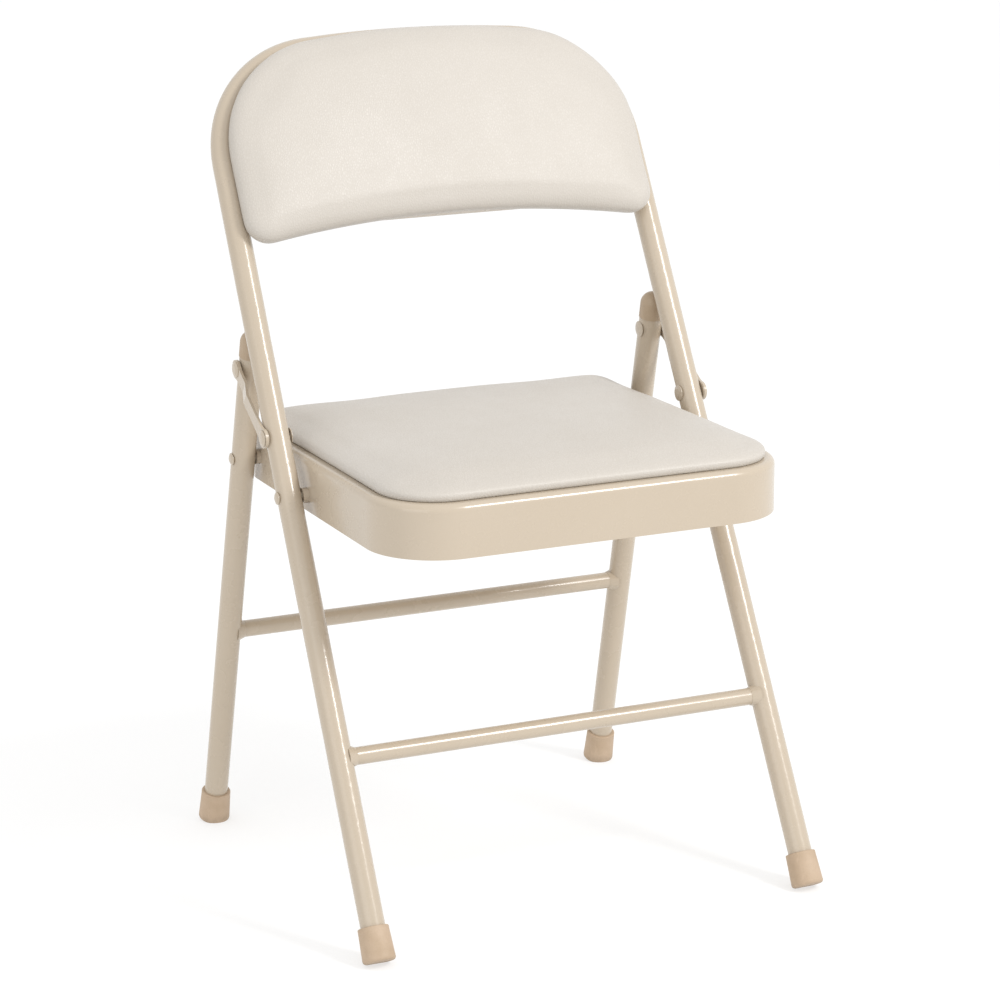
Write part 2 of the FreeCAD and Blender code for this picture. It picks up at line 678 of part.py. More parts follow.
seat_screw_spots = [(VAL["seat_screw_x"], VAL["seat_screw_front"]), (VAL["seat_screw_x"], VAL["seat_screw_rear"]), (-VAL["seat_screw_x"], VAL["seat_screw_front"]), (-VAL["seat_screw_x"], VAL["seat_screw_rear"])]
screw_hole = D("screw_dia") / 2 + 0.02


def seat_screw_holes(tag):
    out = []
    for i, (sx, sy) in enumerate(seat_screw_spots):
        out.append(cylinder("%s_screw_hole_%d" % (tag, i), screw_hole, dim(14), Placement(at(LEVEL, sx, sy, VAL["pan_top"] - 14 + VAL["screw_deep"] + 0.25), Rotation())))
    return out


NODES["seat_pan"] = cut("seat_pan", pan_skin, [pan_room, pan_mouth, pan_light] + seat_holes + seat_screw_holes("pan"))

bi = D("seat_board_inset")
board_low = D("pan_top") + D("board_gap")
board_block = outline_block("seat_board_block", bi, rf - bi, rr - bi, board_low, D("seat_board_thick"))
NODES["seat_board"] = cut("seat_board", board_block, seat_screw_holes("board"))

ci = D("cushion_inset")
cushion_block = outline_block("seat_cushion_block", ci, rf - ci, rr - ci, board_low, D("cushion_high"), D("cushion_round"))
recess = outline_block("seat_cushion_recess", bi - 0.3, rf - bi + 0.3, rr - bi + 0.3, board_low - 1, D("seat_board_thick") + 1.3)
NODES["seat_cushion"] = cut("seat_cushion", cushion_block, [recess])


def screw(name, placement):
    r = D("screw_dia") / 2
    h = D("screw_head_dia") / 2
    t = D("screw_head_thick")
    n = D("screw_deep")
    return turned(name, placement, [(dim(0), -t), (h * 0.6, -t * 0.88), (h, -t * 0.25), (h, dim(0)), (r, dim(0)), (r, n), (dim(0), n + 0.6)])


screws = []
for i, (sx, sy) in enumerate(seat_screw_spots):
    screws.append(screw("seat_screw_%d" % i, Placement(at(LEVEL, sx, sy, VAL["pan_top"] - VAL["pan_wall"] - 0.03), Rotation())))
NODES["seat_screws"] = group("seat_screws", screws)

# channel brace across the pan, under its flange
brace = new_body("seat_brace", LEVEL)
rs = new_sketch(brace, "brace_section", "YZ_Plane")
by = D("brace_y")
bw = D("brace_width") / 2
bt = D("brace_thick")
bz = D("pan_top") - w - 0.05
bd = D("brace_deep")
chain(rs, [(by - bw, bz - bd), (by - bw + bt, bz - bd), (by - bw + bt, bz - bt), (by + bw - bt, bz - bt), (by + bw - bt, bz - bd), (by + bw, bz - bd), (by + bw, bz), (by - bw, bz)], [None] * 8)
pad(brace, rs, "brace_length", (pan_in - 6.2) * 2, both=True)
NODES["seat_brace"] = brace


# ---------------------------------------------------------------- back panel, board and pad
def back_outline(sk, inset):
    """Outline of the back pad in the plane of the front frame, drawn inset."""
    half = D("pad_half") - inset
    rb = D("pad_low_bow_r") + inset
    rc = D("pad_low_corner_r") - inset
    zb = D("pad_low_mid") - D("pad_low_bow_r")
    ccx = half - rc
    ccz = zb + root((rb + rc) * (rb + rc) - ccx * ccx)
    tx = ccx * rb / (rb + rc)
    tz = zb + (ccz - zb) * rb / (rb + rc)
    rt = D("pad_corner_r") - inset
    k = D("pad_half") - D("pad_corner_r")
    kx = k + rt * sind(D("pad_crown"))
    kz = D("pad_side_top") + rt * cosd(D("pad_crown"))
    kr = kx / sind(D("pad_crown"))
    chain(
        sk,
        [(tx, tz), (half, ccz), (half, D("pad_side_top")), (kx, kz), (-kx, kz), (-half, D("pad_side_top")), (-half, ccz), (-tx, tz)],
        [(rc, 1), None, (rt, 1), (kr, 1), (rt, 1), None, (rc, 1), (rb, -1)],
    )


def back_block(name, inset, off, thick, round_front=None):
    b = new_body(name, FRONT)
    s = new_sketch(b, name + "_outline", "XZ_Plane", off)
    back_outline(s, inset)
    p = pad(b, s, name + "_pad", thick)
    doc.recompute()
    if round_front is not None:
        face = off.v + thick.v
        shape = p.Shape.copy()
        names = []
        for i, e in enumerate(shape.Edges, start=1):
            if all(abs(-v.Point.y - face) < 1e-4 for v in e.Vertexes) and abs(-e.valueAt((e.FirstParameter + e.LastParameter) / 2).y - face) < 1e-4:
                names.append("Edge%d" % i)
        f = b.newObject("PartDesign::Fillet", name + "_round")
        f.Base = (p, names)
        f.Radius = round_front.v
        bind(f, "Radius", round_front)
        b.Tip = f
        doc.recompute()
    return b


def back_screw_holes(tag):
    out = []
    for i, (sx, sz) in enumerate(back_spots):
        base = at(FRONT, sx, -(VAL["pad_off"] + VAL["screw_deep"] + 0.1) + 14.0, sz)
        out.append(cylinder("%s_screw_hole_%d" % (tag, i), screw_hole, dim(14), Placement(base, Rotation(Vector(0, 0, 1), BACK_F * -1.0))))
    return out


back_spots = [(sg * VAL["back_screw_x"], VAL[z]) for sg in (1, -1) for z in ("back_screw_low", "back_screw_high")]
back_board_block = back_block("back_board_block", D("back_board_inset"), D("pad_off"), D("back_board_thick"))
NODES["back_board"] = cut("back_board", back_board_block, back_screw_holes("back_board"))
pad_block = back_block("back_pad_block", dim(0), D("pad_off"), D("pad_thick"), D("pad_round"))
pad_recess = back_block("back_pad_recess", D("back_board_inset") - 0.3, D("pad_off") - 1, D("back_board_thick") + 1.3)
NODES["back_pad"] = cut("back_pad", pad_block, [pad_recess])

# steel panel between the uprights, with a turned lip along its lower edge
panel = new_body("back_panel_sheet", FRONT)
ps = new_sketch(panel, "panel_outline", "XZ_Plane", D("panel_off"))
pi = D("panel_inset")
lowx = front_half(D("panel_low")) - pi
rt = D("hoop_corner_r") - pi
kx = (D("hoop_half") - D("hoop_corner_r")) + rt * sind(D("hoop_crown"))
kz = D("hoop_corner_along") + rt * cosd(D("hoop_crown"))
sx = (D("hoop_half") - D("hoop_corner_r")) + rt * cosd(D("hoop_flare"))
sz = D("hoop_corner_along") + rt * sind(D("hoop_flare"))
chain(
    ps,
    [(lowx, D("panel_low")), (sx, sz), (kx, kz), (-kx, kz), (-sx, sz), (-lowx, D("panel_low"))],
    [None, (rt, 1), (kx / sind(D("hoop_crown")), 1), (rt, 1), None, None],
)
pad(panel, ps, "panel_pad", D("panel_thick"))
lip = new_body("back_panel_lip", FRONT)
ls = new_sketch(lip, "lip_outline", "XZ_Plane", D("panel_off") - D("panel_lip"))
lipx = lowx - 16
chain(ls, [(-lipx, D("panel_low")), (lipx, D("panel_low")), (lipx, D("panel_low") + D("panel_thick")), (-lipx, D("panel_low") + D("panel_thick"))], [None] * 4)
pad(lip, ls, "lip_pad", D("panel_lip") + D("panel_thick") / 2)
panel_all = doc.addObject("Part::MultiFuse", "back_panel_formed")
panel_all.Shapes = [panel, lip]
NODES["back_panel"] = cut("back_panel", panel_all, back_screw_holes("back_panel"))
screws = []
for i, (sx_, sz_) in enumerate(back_spots):
    base = at(FRONT, sx_, -(VAL["panel_off"] - 0.03), sz_)
    screws.append(screw("back_screw_%d" % i, Placement(base, Rotation(Vector(0, 0, 1), BACK_F * -1.0))))
NODES["back_screws"] = group("back_screws", screws)

doc.recompute()

# ---------------------------------------------------------------- checks and export
bad = []
for o in doc.Objects:
    state = list(getattr(o, "State", []))
    if any(k in state for k in ("Invalid", "Error")):
        bad.append((o.Name, state))
if bad:
    raise RuntimeError("objects in error: %r" % bad)

os.makedirs("parts", exist_ok=True)
total = None
for name in sorted(NODES):
    obj = NODES[name]
    obj.Label = name
    shape = obj.Shape
    if shape.isNull() or not shape.isValid() or not shape.Solids:
        raise RuntimeError("bad shape: " + name)
    if name.endswith(("_tube", "_crossbar", "_pan", "_board", "_cushion", "_pad", "_panel", "_brace")) and len(shape.Solids) != 1:
        raise RuntimeError("%s has %d solids" % (name, len(shape.Solids)))
    shape.exportStep("parts/%s.step" % name)
    bb = shape.optimalBoundingBox(False, False)
    total = bb if total is None else total.united(bb)
    print("%-22s solids %d volume %10.1f  x %7.2f..%7.2f  y %7.2f..%7.2f  z %7.2f..%7.2f" % (name, len(shape.Solids), shape.Volume, bb.XMin, bb.XMax, bb.YMin, bb.YMax, bb.ZMin, bb.ZMax))
print("overall", total)
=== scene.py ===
import bpy, json, math
import numpy as np
from mathutils import Vector, Matrix, noise
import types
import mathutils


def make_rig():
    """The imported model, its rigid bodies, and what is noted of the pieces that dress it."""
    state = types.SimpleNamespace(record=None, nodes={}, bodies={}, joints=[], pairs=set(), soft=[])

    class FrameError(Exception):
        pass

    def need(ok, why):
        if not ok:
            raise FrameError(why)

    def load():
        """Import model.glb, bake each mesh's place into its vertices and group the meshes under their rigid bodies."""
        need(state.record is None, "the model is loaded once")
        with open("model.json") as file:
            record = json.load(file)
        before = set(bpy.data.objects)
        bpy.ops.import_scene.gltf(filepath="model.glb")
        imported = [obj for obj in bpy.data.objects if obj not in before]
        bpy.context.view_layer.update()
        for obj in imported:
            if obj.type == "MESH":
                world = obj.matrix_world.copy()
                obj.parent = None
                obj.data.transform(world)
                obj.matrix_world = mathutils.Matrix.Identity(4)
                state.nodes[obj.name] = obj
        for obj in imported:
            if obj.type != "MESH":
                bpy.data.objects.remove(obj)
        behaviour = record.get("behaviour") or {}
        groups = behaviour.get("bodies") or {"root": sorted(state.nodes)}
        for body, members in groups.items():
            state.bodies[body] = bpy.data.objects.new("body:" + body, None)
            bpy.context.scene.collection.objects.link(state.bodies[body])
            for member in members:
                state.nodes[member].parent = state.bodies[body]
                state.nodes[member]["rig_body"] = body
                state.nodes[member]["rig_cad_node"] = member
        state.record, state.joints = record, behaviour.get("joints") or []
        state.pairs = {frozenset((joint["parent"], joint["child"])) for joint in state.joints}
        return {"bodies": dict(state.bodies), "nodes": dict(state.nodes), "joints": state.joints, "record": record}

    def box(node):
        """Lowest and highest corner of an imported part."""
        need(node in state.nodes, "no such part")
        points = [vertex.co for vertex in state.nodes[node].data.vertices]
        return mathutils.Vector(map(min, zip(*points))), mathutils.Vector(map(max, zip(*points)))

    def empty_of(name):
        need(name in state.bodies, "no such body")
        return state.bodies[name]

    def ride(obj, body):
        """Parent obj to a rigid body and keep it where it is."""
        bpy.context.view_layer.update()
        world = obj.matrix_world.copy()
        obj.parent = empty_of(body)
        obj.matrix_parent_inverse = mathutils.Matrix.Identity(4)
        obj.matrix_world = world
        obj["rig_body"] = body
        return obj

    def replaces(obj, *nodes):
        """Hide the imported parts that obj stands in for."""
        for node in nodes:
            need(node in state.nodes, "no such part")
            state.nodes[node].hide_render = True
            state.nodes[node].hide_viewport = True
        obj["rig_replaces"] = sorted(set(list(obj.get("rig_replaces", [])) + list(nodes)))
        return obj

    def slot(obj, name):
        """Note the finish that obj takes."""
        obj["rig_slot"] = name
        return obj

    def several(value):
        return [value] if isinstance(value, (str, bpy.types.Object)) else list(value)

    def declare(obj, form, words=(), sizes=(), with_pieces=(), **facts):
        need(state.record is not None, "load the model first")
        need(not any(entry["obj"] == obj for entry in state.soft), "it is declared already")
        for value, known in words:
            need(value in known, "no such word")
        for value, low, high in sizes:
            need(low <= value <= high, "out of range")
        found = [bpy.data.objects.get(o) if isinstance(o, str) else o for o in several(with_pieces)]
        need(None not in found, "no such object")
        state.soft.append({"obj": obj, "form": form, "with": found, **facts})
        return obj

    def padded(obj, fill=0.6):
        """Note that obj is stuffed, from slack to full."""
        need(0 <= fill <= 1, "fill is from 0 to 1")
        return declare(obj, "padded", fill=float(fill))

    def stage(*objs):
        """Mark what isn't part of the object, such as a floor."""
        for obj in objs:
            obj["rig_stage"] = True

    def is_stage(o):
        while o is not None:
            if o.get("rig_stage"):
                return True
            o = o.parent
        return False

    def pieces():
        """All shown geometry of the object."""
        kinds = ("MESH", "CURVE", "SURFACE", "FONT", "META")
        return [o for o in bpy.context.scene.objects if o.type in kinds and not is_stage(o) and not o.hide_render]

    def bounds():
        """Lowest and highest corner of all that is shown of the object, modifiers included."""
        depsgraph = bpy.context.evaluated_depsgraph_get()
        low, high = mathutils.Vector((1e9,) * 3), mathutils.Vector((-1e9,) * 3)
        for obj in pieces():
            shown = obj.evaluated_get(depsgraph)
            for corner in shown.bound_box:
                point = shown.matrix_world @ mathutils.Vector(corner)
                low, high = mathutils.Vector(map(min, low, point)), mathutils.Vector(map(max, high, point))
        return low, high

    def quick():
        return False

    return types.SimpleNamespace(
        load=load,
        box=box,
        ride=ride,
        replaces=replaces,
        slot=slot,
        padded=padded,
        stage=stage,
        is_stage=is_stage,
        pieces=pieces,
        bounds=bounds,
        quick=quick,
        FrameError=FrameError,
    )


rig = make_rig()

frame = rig.load()
start_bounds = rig.bounds()
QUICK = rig.quick()
scene = bpy.context.scene


def plain(v):
    """Vectors and nested tuples as plain lists of numbers."""
    try:
        return [plain(i) for i in v]
    except TypeError:
        return float(v)


# ------------------------------------------------------------------ camera
AZ, EL, ROLL = math.radians(-25.3591), math.radians(14.821), math.radians(-0.0991)
TARGET = Vector((-0.072358, -0.160648, 0.380363))
DIST = 3.032653
back = Vector((math.sin(AZ) * math.cos(EL), -math.cos(AZ) * math.cos(EL), math.sin(EL)))
right0 = Vector((math.cos(AZ), math.sin(AZ), 0.0))
up0 = back.cross(right0)
right = right0 * math.cos(ROLL) + up0 * math.sin(ROLL)
up = up0 * math.cos(ROLL) - right0 * math.sin(ROLL)
cam_data = bpy.data.cameras.new("studio_camera")
cam = bpy.data.objects.new("studio_camera", cam_data)
scene.collection.objects.link(cam)
place = Matrix.Identity(4)
for i, axis in enumerate((right, up, back)):
    for j in range(3):
        place[j][i] = axis[j]
for j, c in enumerate(TARGET + back * DIST):
    place[j][3] = c
cam.matrix_world = place
cam_data.sensor_width = 36.0
cam_data.lens = 125.80
cam_data.shift_x = -0.00267
cam_data.shift_y = 0.0112
cam_data.clip_start = 0.05
cam_data.clip_end = 60.0
scene.camera = cam
scene.view_settings.view_transform = "Standard"


# ------------------------------------------------------------------ material tools
class Nodes:
    """Short way to write a node tree."""

    def __init__(self, name):
        self.mat = bpy.data.materials.get("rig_" + name) or bpy.data.materials.new("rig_" + name)
        self.mat.use_nodes = True
        self.tree = self.mat.node_tree
        self.tree.nodes.clear()
        self.out = self.tree.nodes.new("ShaderNodeOutputMaterial")
        self.bsdf = self.tree.nodes.new("ShaderNodeBsdfPrincipled")
        self.tree.links.new(self.bsdf.outputs[0], self.out.inputs[0])
        self.coord = self.tree.nodes.new("ShaderNodeTexCoord").outputs["Object"]

    def link(self, a, b):
        self.tree.links.new(a, b)

    def mapping(self, scale=(1, 1, 1), rot=(0, 0, 0)):
        n = self.tree.nodes.new("ShaderNodeMapping")
        n.inputs["Scale"].default_value = scale
        n.inputs["Rotation"].default_value = rot
        self.link(self.coord, n.inputs["Vector"])
        return n.outputs[0]

    def noise(self, scale, detail=3.0, rough=0.5, vec=None, distortion=0.0):
        n = self.tree.nodes.new("ShaderNodeTexNoise")
        n.inputs["Scale"].default_value = scale
        n.inputs["Detail"].default_value = detail
        n.inputs["Roughness"].default_value = rough
        n.inputs["Distortion"].default_value = distortion
        self.link(vec or self.coord, n.inputs["Vector"])
        return n.outputs["Fac"]

    def cells(self, scale, vec=None, feature="DISTANCE_TO_EDGE", smooth=None):
        n = self.tree.nodes.new("ShaderNodeTexVoronoi")
        n.feature = feature
        n.inputs["Scale"].default_value = scale
        self.link(vec or self.coord, n.inputs["Vector"])
        return n.outputs["Distance"]

    def remap(self, value, a, b, c, d, smooth=False):
        n = self.tree.nodes.new("ShaderNodeMapRange")
        if smooth:
            n.interpolation_type = "SMOOTHSTEP"
        n.inputs["From Min"].default_value = a
        n.inputs["From Max"].default_value = b
        n.inputs["To Min"].default_value = c
        n.inputs["To Max"].default_value = d
        self.link(value, n.inputs["Value"])
        return n.outputs["Result"]

    def math(self, op, a, b):
        n = self.tree.nodes.new("ShaderNodeMath")
        n.operation = op
        for i, v in enumerate((a, b)):
            if isinstance(v, (int, float)):
                n.inputs[i].default_value = v
            else:
                self.link(v, n.inputs[i])
        return n.outputs[0]

    def mix(self, fac, a, b):
        n = self.tree.nodes.new("ShaderNodeMix")
        n.data_type = "RGBA"
        for sock, v in ((n.inputs[0], fac), (n.inputs[6], a), (n.inputs[7], b)):
            if isinstance(v, (int, float)):
                sock.default_value = v
            elif isinstance(v, tuple):
                sock.default_value = (*v, 1.0)
            else:
                self.link(v, sock)
        return n.outputs[2]

    def bump(self, height, strength, distance, normal=None):
        n = self.tree.nodes.new("ShaderNodeBump")
        n.inputs["Strength"].default_value = strength
        n.inputs["Distance"].default_value = distance
        self.link(height, n.inputs["Height"])
        if normal is not None:
            self.link(normal, n.inputs["Normal"])
        return n.outputs[0]

    def axis(self, which):
        n = self.tree.nodes.new("ShaderNodeSeparateXYZ")
        self.link(self.coord, n.inputs[0])
        return n.outputs[which]

    def set(self, **kw):
        for k, v in kw.items():
            sock = self.bsdf.inputs[k.replace("_", " ")]
            if isinstance(v, (int, float)):
                sock.default_value = v
            elif isinstance(v, tuple):
                sock.default_value = (*v, 1.0) if len(v) == 3 else v
            else:
                self.link(v, sock)


def enamel():
    """Beige stove enamel on steel: slow colour drift and a faint orange peel."""
    m = Nodes("enamel")
    drift = m.remap(m.noise(9.0, 4.0, 0.55), 0.3, 0.7, 0.0, 1.0)
    mottled = m.remap(m.noise(70.0, 3.0, 0.6), 0.30, 0.75, 0.0, 1.0)
    tone = m.mix(drift, (0.474, 0.398, 0.305), (0.488, 0.411, 0.318))
    tone = m.mix(m.math("MULTIPLY", mottled, 0.06), tone, (0.450, 0.368, 0.268))
    dust = m.remap(m.noise(420.0, 2.0, 0.7), 0.72, 0.80, 0.0, 0.14)
    tone = m.mix(dust, tone, (0.400, 0.316, 0.218))
    rough = m.remap(m.noise(38.0, 4.0, 0.6), 0.3, 0.7, 0.24, 0.30)
    peel = m.bump(m.noise(430.0, 2.0, 0.5), 0.05, 0.0004)
    peel = m.bump(m.noise(42.0, 2.0, 0.4), 0.02, 0.0010, peel)
    m.set(Base_Color=tone, Roughness=rough, Normal=peel, Coat_Weight=0.45, Coat_Roughness=0.15, IOR=1.45)
    return m.mat


def vinyl():
    """Off-white upholstery vinyl: pebbled leather grain, slow toning, soft sheen."""
    m = Nodes("vinyl")
    toned = m.remap(m.noise(6.5, 4.0, 0.55), 0.32, 0.68, 0.0, 1.0)
    fine = m.remap(m.noise(260.0, 4.0, 0.65), 0.3, 0.72, 0.0, 1.0)
    wrinkle_vec = m.mapping(scale=(1.0, 0.62, 0.62))
    grain = m.cells(560.0, wrinkle_vec)
    pits = m.remap(grain, 0.0, 0.22, 1.0, 0.0, smooth=True)
    small = m.noise(1150.0, 3.0, 0.6, wrinkle_vec)
    tone = m.mix(toned, (0.524, 0.486, 0.436), (0.546, 0.508, 0.460))
    tone = m.mix(m.math("MULTIPLY", fine, 0.16), tone, (0.476, 0.440, 0.392))
    tone = m.mix(m.math("MULTIPLY", pits, 0.20), tone, (0.402, 0.360, 0.306))
    rough = m.remap(m.noise(24.0, 3.0, 0.6), 0.3, 0.7, 0.40, 0.52)
    rough = m.math("ADD", rough, m.math("MULTIPLY", pits, 0.10))
    height = m.math("ADD", m.remap(grain, 0.0, 0.30, 0.0, 1.0, smooth=True), m.math("MULTIPLY", small, 0.45))
    n = m.bump(height, 0.34, 0.00035)
    n = m.bump(m.noise(95.0, 3.0, 0.55), 0.10, 0.0011, n)
    m.set(Base_Color=tone, Roughness=rough, Normal=n, Sheen_Weight=0.10, Sheen_Roughness=0.45, Coat_Weight=0.08, Coat_Roughness=0.35, IOR=1.48, Subsurface_Weight=0.0)
    return m.mat


def moulded(name, light, dark, rough_lo, rough_hi, bottom_darkening):
    """Tan moulded rubber or plastic: mottled, fine-pored, darker towards the ground when its flag is set."""
    m = Nodes(name)
    mott = m.remap(m.noise(48.0, 4.0, 0.6), 0.3, 0.7, 0.0, 1.0)
    tone = m.mix(mott, light, dark)
    pores = m.remap(m.noise(900.0, 2.0, 0.6), 0.55, 0.75, 0.0, 1.0)
    tone = m.mix(m.math("MULTIPLY", pores, 0.25), tone, tuple(c * 0.72 for c in dark))
    scuffs = m.remap(m.noise(120.0, 3.0, 0.7, m.mapping(scale=(1.0, 1.0, 0.25))), 0.60, 0.74, 0.0, 0.35)
    tone = m.mix(scuffs, tone, tuple(min(1.0, c * 1.22) for c in light))
    if bottom_darkening:
        # colour darkened over the lowest 10 mm, towards the ground, broken up by noise
        low = m.remap(m.axis(2), 0.0, 0.010, 0.55, 0.0, smooth=True)
        tone = m.mix(m.math("MULTIPLY", low, m.remap(m.noise(210.0, 3.0), 0.35, 0.65, 0.3, 1.0)), tone, (0.235, 0.180, 0.130))
    rough = m.remap(m.noise(75.0, 3.0), 0.3, 0.7, rough_lo, rough_hi)
    n = m.bump(m.noise(780.0, 3.0, 0.6), 0.22, 0.0004)
    m.set(Base_Color=tone, Roughness=rough, Normal=n, IOR=1.46)
    return m.mat


def plywood():
    """Unfinished plywood: long grain with darker rays."""
    m = Nodes("plywood")
    vec = m.mapping(scale=(1.0, 14.0, 1.0))
    rings = m.remap(m.noise(11.0, 5.0, 0.62, vec, 0.6), 0.32, 0.68, 0.0, 1.0)
    tone = m.mix(rings, (0.560, 0.400, 0.235), (0.690, 0.530, 0.350))
    fibre = m.remap(m.noise(120.0, 3.0, 0.6, m.mapping(scale=(0.25, 14.0, 1.0))), 0.45, 0.72, 0.0, 0.5)
    tone = m.mix(fibre, tone, (0.420, 0.290, 0.170))
    n = m.bump(m.noise(150.0, 3.0, 0.6, m.mapping(scale=(0.3, 10.0, 1.0))), 0.25, 0.0005)
    m.set(Base_Color=tone, Roughness=m.remap(rings, 0.0, 1.0, 0.62, 0.78), Normal=n)
    return m.mat


def steel():
    """Zinc plated screw steel."""
    m = Nodes("steel")
    tone = m.mix(m.remap(m.noise(240.0, 3.0), 0.3, 0.7, 0.0, 1.0), (0.56, 0.55, 0.52), (0.66, 0.65, 0.60))
    rough = m.remap(m.noise(520.0, 3.0, 0.6), 0.3, 0.7, 0.28, 0.46)
    m.set(Base_Color=tone, Roughness=rough, Metallic=1.0, Normal=m.bump(m.noise(900.0, 2.0), 0.12, 0.0003))
    return m.mat


FINISH = {
    "frame_paint": enamel(),
    "vinyl": vinyl(),
    "foot_rubber": moulded("foot_rubber", (0.495, 0.375, 0.268), (0.428, 0.318, 0.216), 0.50, 0.66, True),
    "cap_plastic": moulded("cap_plastic", (0.432, 0.335, 0.235), (0.390, 0.296, 0.202), 0.42, 0.55, False),
    "plywood": plywood(),
    "screw_steel": steel(),
}
slot_of = {s["node"]: s["material_slot"] for s in frame["record"]["subparts"]}
for node, obj in frame["nodes"].items():
    finish = FINISH[slot_of[node]]
    if not obj.material_slots:
        obj.data.materials.append(finish)
    for s in obj.material_slots:
        s.material = finish


# ------------------------------------------------------------------ cushions
def arc(cx, cy, r, a0, a1, step=0.001):
    n = max(6, int(abs(a1 - a0) * r / step))
    return [(cx + r * math.cos(a0 + (a1 - a0) * i / n), cy + r * math.sin(a0 + (a1 - a0) * i / n)) for i in range(n)]


def run(p, q, step=0.001):
    n = max(1, int(math.dist(p, q) / step))
    return [(p[0] + (q[0] - p[0]) * i / n, p[1] + (q[1] - p[1]) * i / n) for i in range(n)]


def ring_normals(pts):
    """Outward unit normals of a closed counter-clockwise ring."""
    d = np.roll(pts, -1, 0) - np.roll(pts, 1, 0)
    n = np.stack([d[:, 1], -d[:, 0]], 1)
    return n / np.linalg.norm(n, axis=1, keepdims=True)


def edge_distance(p, ring):
    """Distance of each point to a closed ring."""
    a, b = ring, np.roll(ring, -1, 0)
    ab = b - a
    best = np.full(len(p), 1e9)
    for i in range(0, len(p), 2000):
        q = p[i : i + 2000, None, :]
        t = np.clip(((q - a) * ab).sum(2) / (ab * ab).sum(1), 0, 1)
        best[i : i + 2000] = np.linalg.norm(q - (a + ab * t[..., None]), axis=2).min(1)
    return best


def object_from(name, verts, faces):
    me = bpy.data.meshes.new(name)
    me.from_pydata([tuple(v) for v in verts], [], faces)
    me.validate()
    ob = bpy.data.objects.new(name, me)
    scene.collection.objects.link(ob)
    return ob


def baked(ob, name):
    """A new mesh from the object with its modifiers evaluated."""
    dg = bpy.context.evaluated_depsgraph_get()
    dg.update()
    me = bpy.data.meshes.new_from_object(ob.evaluated_get(dg))
    me.name = name
    return me


def coords(me):
    co = np.empty(len(me.vertices) * 3, np.float64)
    me.vertices.foreach_get("co", co)
    return co.reshape(-1, 3)


def put(me, co):
    me.vertices.foreach_set("co", co.astype(np.float32).ravel())
    me.update()


def relax(me, rounds, weight, share=0.5):
    """Evens out a mesh, by weight per vertex."""
    e = np.empty(len(me.edges) * 2, np.int64)
    me.edges.foreach_get("vertices", e)
    e = e.reshape(-1, 2)
    n = len(me.vertices)
    count = np.bincount(e.ravel(), minlength=n).astype(float)[:, None]
    co = coords(me)
    for _ in range(rounds):
        s = np.zeros_like(co)
        np.add.at(s, e[:, 0], co[e[:, 1]])
        np.add.at(s, e[:, 1], co[e[:, 0]])
        co = co + (s / count - co) * share * weight[:, None]
    put(me, co)


def evenly(line, n):
    """n points evenly spaced along an open line, its last point left out."""
    s = np.concatenate([[0.0], np.cumsum(np.linalg.norm(np.diff(line, axis=0), axis=1))])
    t = np.linspace(0.0, s[-1], n + 1)[:-1]
    return np.stack([np.interp(t, s, line[:, 0]), np.interp(t, s, line[:, 1])], 1)


def four_sided(ring, nu, nv):
    """The ring again, evenly divided between its four corners: lower left, lower right, upper right, upper left."""
    ring = np.array(ring)
    lo, hi = ring.min(0), ring.max(0)
    q = (ring - (lo + hi) / 2) / ((hi - lo) / 2)
    ring = np.roll(ring, -int(np.argmax(-q[:, 0] - q[:, 1])), 0)
    q = (ring - (lo + hi) / 2) / ((hi - lo) / 2)
    k = [0, int(np.argmax(q[:, 0] - q[:, 1])), int(np.argmax(q[:, 0] + q[:, 1])), int(np.argmax(-q[:, 0] + q[:, 1])), len(ring)]
    ring = np.vstack([ring, ring[:1]])
    return np.vstack([evenly(ring[k[i] : k[i + 1] + 1], (nu, nv)[i % 2]) for i in range(4)])


def patch(edge, nu, nv):
    """Inner points of a four-sided sheet stretched over a ring made by four_sided, row by row."""
    at = lambda k: edge[k % len(edge)]
    c00, c10, c11, c01 = at(0), at(nu), at(nu + nv), at(2 * nu + nv)
    out = []
    for j in range(1, nv):
        t = j / nv
        for i in range(1, nu):
            s = i / nu
            p = (1 - t) * at(i) + t * at(2 * nu + nv - i) + (1 - s) * at(2 * nu + 2 * nv - j) + s * at(nu + j)
            out.append(p - (1 - s) * (1 - t) * c00 - s * (1 - t) * c10 - (1 - s) * t * c01 - s * t * c11)
    return np.array(out)


def patch_faces(ring_start, inner_start, nu, nv, flip):
    n = 2 * (nu + nv)

    def idx(i, j):
        if j == 0:
            return ring_start + i
        if i == nu:
            return ring_start + nu + j
        if j == nv:
            return ring_start + 2 * nu + nv - i
        if i == 0:
            return ring_start + (2 * nu + 2 * nv - j) % n
        return inner_start + (j - 1) * (nu - 1) + i - 1

    out = []
    for j in range(nv):
        for i in range(nu):
            f = (idx(i, j), idx(i + 1, j), idx(i + 1, j + 1), idx(i, j + 1))
            out.append(f[::-1] if flip else f)
    return out


def smoothed(field, e, count, rounds, share=0.5):
    """A value per vertex, averaged with its neighbours."""
    for _ in range(rounds):
        s = np.zeros_like(field)
        np.add.at(s, e[:, 0], field[e[:, 1]])
        np.add.at(s, e[:, 1], field[e[:, 0]])
        field = field + (s / count - field) * share
    return field


